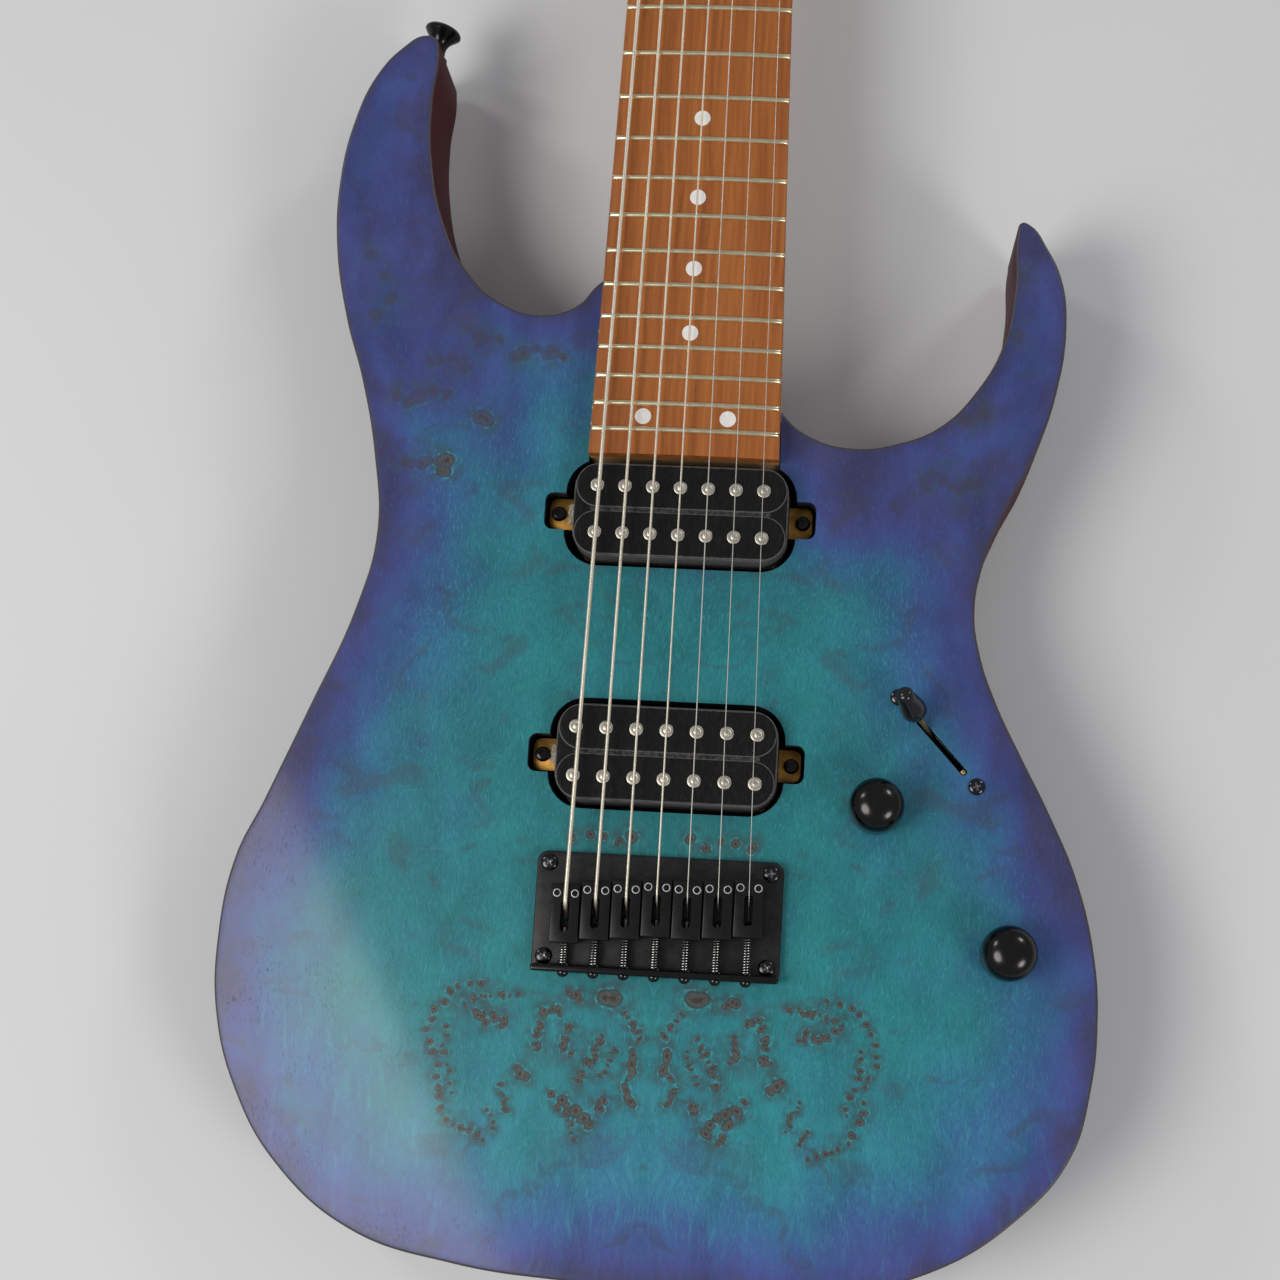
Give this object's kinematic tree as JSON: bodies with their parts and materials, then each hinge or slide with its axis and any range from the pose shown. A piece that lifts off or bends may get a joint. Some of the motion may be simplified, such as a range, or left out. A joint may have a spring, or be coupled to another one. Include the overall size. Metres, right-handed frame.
{
  "type": "electric guitar",
  "caption": "Solid-body seven-string electric guitar with a burl top in teal to purple, bolted neck, two pickups, fixed bridge, two knobs and a blade switch.",
  "frame": {"origin": "on the back of the body, on the centreline, under the scale line that the saddles sit on", "axes": "the guitar lies on its back: +Y from the bridge to the headstock, +Z out of the front, +X to the treble side where the knobs are"},
  "size_m": [0.3091, 1.0093, 0.0691],
  "materials": {
    "burl_top": "satin stain over a figured veneer: teal in the middle, blue and purple at the edge",
    "body_wood": "dark wine satin stain",
    "neck_wood": "satin",
    "fretboard_wood": "oiled, open grain",
    "black_hardware": "gloss black plating",
    "black_plastic": "satin",
    "string_steel": "bright",
    "fret_metal": "polished",
    "gold_metal": "yellow passivated",
    "pot_metal": "satin",
    "inlay_plastic": "white, polished"
  },
  "bodies": {
    "guitar": {"body_core": "body_wood", "burl_top": "burl_top", "control_cover": "black_plastic", "string_ferrule_strip": "black_hardware", "neck_plate": "black_hardware", "neck": "neck_wood", "fretboard": "fretboard_wood", "nut": "black_plastic", "truss_rod": "fret_metal", "truss_rod_cover": "black_plastic", "neck_pickup_baseplate": "gold_metal", "neck_pickup_coils": "black_plastic", "bridge_pickup_baseplate": "gold_metal", "bridge_pickup_coils": "black_plastic", "bridge_plate": "black_hardware", "volume_pot": "pot_metal", "tone_pot": "pot_metal", "switch_frame": "pot_metal", "output_jack": "black_hardware", "strap_button_upper": "black_hardware", "strap_button_lower": "black_hardware", "tuner_housing_1": "black_hardware", "tuner_housing_2": "black_hardware", "tuner_housing_3": "black_hardware", "tuner_housing_4": "black_hardware", "tuner_housing_5": "black_hardware", "tuner_housing_6": "black_hardware", "tuner_housing_7": "black_hardware", "string_1": "string_steel", "string_2": "string_steel", "string_3": "string_steel", "string_4": "string_steel", "string_5": "string_steel", "string_6": "string_steel", "string_7": "string_steel"},
    "tuner_button_1": {"tuner_button_1": "black_hardware"},
    "tuner_post_1": {"tuner_post_1": "black_hardware"},
    "tuner_button_2": {"tuner_button_2": "black_hardware"},
    "tuner_post_2": {"tuner_post_2": "black_hardware"},
    "tuner_button_3": {"tuner_button_3": "black_hardware"},
    "tuner_post_3": {"tuner_post_3": "black_hardware"},
    "tuner_button_4": {"tuner_button_4": "black_hardware"},
    "tuner_post_4": {"tuner_post_4": "black_hardware"},
    "tuner_button_5": {"tuner_button_5": "black_hardware"},
    "tuner_post_5": {"tuner_post_5": "black_hardware"},
    "tuner_button_6": {"tuner_button_6": "black_hardware"},
    "tuner_post_6": {"tuner_post_6": "black_hardware"},
    "tuner_button_7": {"tuner_button_7": "black_hardware"},
    "tuner_post_7": {"tuner_post_7": "black_hardware"},
    "saddle_1": {"saddle_1": "black_hardware"},
    "saddle_2": {"saddle_2": "black_hardware"},
    "saddle_3": {"saddle_3": "black_hardware"},
    "saddle_4": {"saddle_4": "black_hardware"},
    "saddle_5": {"saddle_5": "black_hardware"},
    "saddle_6": {"saddle_6": "black_hardware"},
    "saddle_7": {"saddle_7": "black_hardware"},
    "volume_knob": {"volume_knob": "black_hardware"},
    "tone_knob": {"tone_knob": "black_hardware"},
    "switch_lever": {"switch_lever": "gold_metal", "switch_tip": "black_plastic"}
  },
  "joints": [
    {"name": "tuner_button_1_turn", "type": "hinge", "parent": "guitar", "child": "tuner_button_1", "pos_m": [-0.02238, 0.69463, 0.02123], "axis": [-0.964, 0.2635, -0.037], "continuous": true},
    {"name": "tuner_post_1_turn", "type": "hinge", "parent": "guitar", "child": "tuner_post_1", "pos_m": [-0.0243, 0.69043, 0.04121], "axis": [0, 0.1392, 0.9903], "continuous": true},
    {"name": "tuner_button_2_turn", "type": "hinge", "parent": "guitar", "child": "tuner_button_2", "pos_m": [-0.01548, 0.71939, 0.01775], "axis": [-0.964, 0.2635, -0.037], "continuous": true},
    {"name": "tuner_post_2_turn", "type": "hinge", "parent": "guitar", "child": "tuner_post_2", "pos_m": [-0.0174, 0.71519, 0.03773], "axis": [0, 0.1392, 0.9903], "continuous": true},
    {"name": "tuner_button_3_turn", "type": "hinge", "parent": "guitar", "child": "tuner_button_3", "pos_m": [-0.00858, 0.74414, 0.01427], "axis": [-0.964, 0.2635, -0.037], "continuous": true},
    {"name": "tuner_post_3_turn", "type": "hinge", "parent": "guitar", "child": "tuner_post_3", "pos_m": [-0.0105, 0.73994, 0.03425], "axis": [0, 0.1392, 0.9903], "continuous": true},
    {"name": "tuner_button_4_turn", "type": "hinge", "parent": "guitar", "child": "tuner_button_4", "pos_m": [-0.00168, 0.7689, 0.01079], "axis": [-0.964, 0.2635, -0.037], "continuous": true},
    {"name": "tuner_post_4_turn", "type": "hinge", "parent": "guitar", "child": "tuner_post_4", "pos_m": [-0.0036, 0.7647, 0.03077], "axis": [0, 0.1392, 0.9903], "continuous": true},
    {"name": "tuner_button_5_turn", "type": "hinge", "parent": "guitar", "child": "tuner_button_5", "pos_m": [0.00522, 0.79366, 0.00732], "axis": [-0.964, 0.2635, -0.037], "continuous": true},
    {"name": "tuner_post_5_turn", "type": "hinge", "parent": "guitar", "child": "tuner_post_5", "pos_m": [0.0033, 0.78946, 0.02729], "axis": [0, 0.1392, 0.9903], "continuous": true},
    {"name": "tuner_button_6_turn", "type": "hinge", "parent": "guitar", "child": "tuner_button_6", "pos_m": [0.01212, 0.81842, 0.00384], "axis": [-0.964, 0.2635, -0.037], "continuous": true},
    {"name": "tuner_post_6_turn", "type": "hinge", "parent": "guitar", "child": "tuner_post_6", "pos_m": [0.0102, 0.81421, 0.02381], "axis": [0, 0.1392, 0.9903], "continuous": true},
    {"name": "tuner_button_7_turn", "type": "hinge", "parent": "guitar", "child": "tuner_button_7", "pos_m": [0.01902, 0.84317, 0.00036], "axis": [-0.964, 0.2635, -0.037], "continuous": true},
    {"name": "tuner_post_7_turn", "type": "hinge", "parent": "guitar", "child": "tuner_post_7", "pos_m": [0.0171, 0.83897, 0.02033], "axis": [0, 0.1392, 0.9903], "continuous": true},
    {"name": "saddle_1_slide", "type": "slide", "parent": "guitar", "child": "saddle_1", "axis": [0, 1, 0], "range_m": [-0.003, 0.003], "deforming": ["string_1"]},
    {"name": "saddle_2_slide", "type": "slide", "parent": "guitar", "child": "saddle_2", "axis": [0, 1, 0], "range_m": [-0.003, 0.003], "deforming": ["string_2"]},
    {"name": "saddle_3_slide", "type": "slide", "parent": "guitar", "child": "saddle_3", "axis": [0, 1, 0], "range_m": [-0.003, 0.003], "deforming": ["string_3"]},
    {"name": "saddle_4_slide", "type": "slide", "parent": "guitar", "child": "saddle_4", "axis": [0, 1, 0], "range_m": [-0.003, 0.003], "deforming": ["string_4"]},
    {"name": "saddle_5_slide", "type": "slide", "parent": "guitar", "child": "saddle_5", "axis": [0, 1, 0], "range_m": [-0.003, 0.003], "deforming": ["string_5"]},
    {"name": "saddle_6_slide", "type": "slide", "parent": "guitar", "child": "saddle_6", "axis": [0, 1, 0], "range_m": [-0.003, 0.003], "deforming": ["string_6"]},
    {"name": "saddle_7_slide", "type": "slide", "parent": "guitar", "child": "saddle_7", "axis": [0, 1, 0], "range_m": [-0.003, 0.003], "deforming": ["string_7"]},
    {"name": "volume_turn", "type": "hinge", "parent": "guitar", "child": "volume_knob", "pos_m": [0.0736, 0.031, 0.044], "axis": [0, 0, 1], "range_deg": [-150, 150]},
    {"name": "tone_turn", "type": "hinge", "parent": "guitar", "child": "tone_knob", "pos_m": [0.12, -0.0167, 0.044], "axis": [0, 0, 1], "range_deg": [-150, 150]},
    {"name": "switch_throw", "type": "hinge", "parent": "guitar", "child": "switch_lever", "pos_m": [0.094, 0.0555, 0.034], "axis": [0.7312, 0.6822, 0], "range_deg": [0, 70]}
  ],
  "couplings": [
    {"joint": "tuner_post_1_turn", "follows": "tuner_button_1_turn", "ratio": 0.0625},
    {"joint": "tuner_post_2_turn", "follows": "tuner_button_2_turn", "ratio": 0.0625},
    {"joint": "tuner_post_3_turn", "follows": "tuner_button_3_turn", "ratio": 0.0625},
    {"joint": "tuner_post_4_turn", "follows": "tuner_button_4_turn", "ratio": 0.0625},
    {"joint": "tuner_post_5_turn", "follows": "tuner_button_5_turn", "ratio": 0.0625},
    {"joint": "tuner_post_6_turn", "follows": "tuner_button_6_turn", "ratio": 0.0625},
    {"joint": "tuner_post_7_turn", "follows": "tuner_button_7_turn", "ratio": 0.0625}
  ]
}
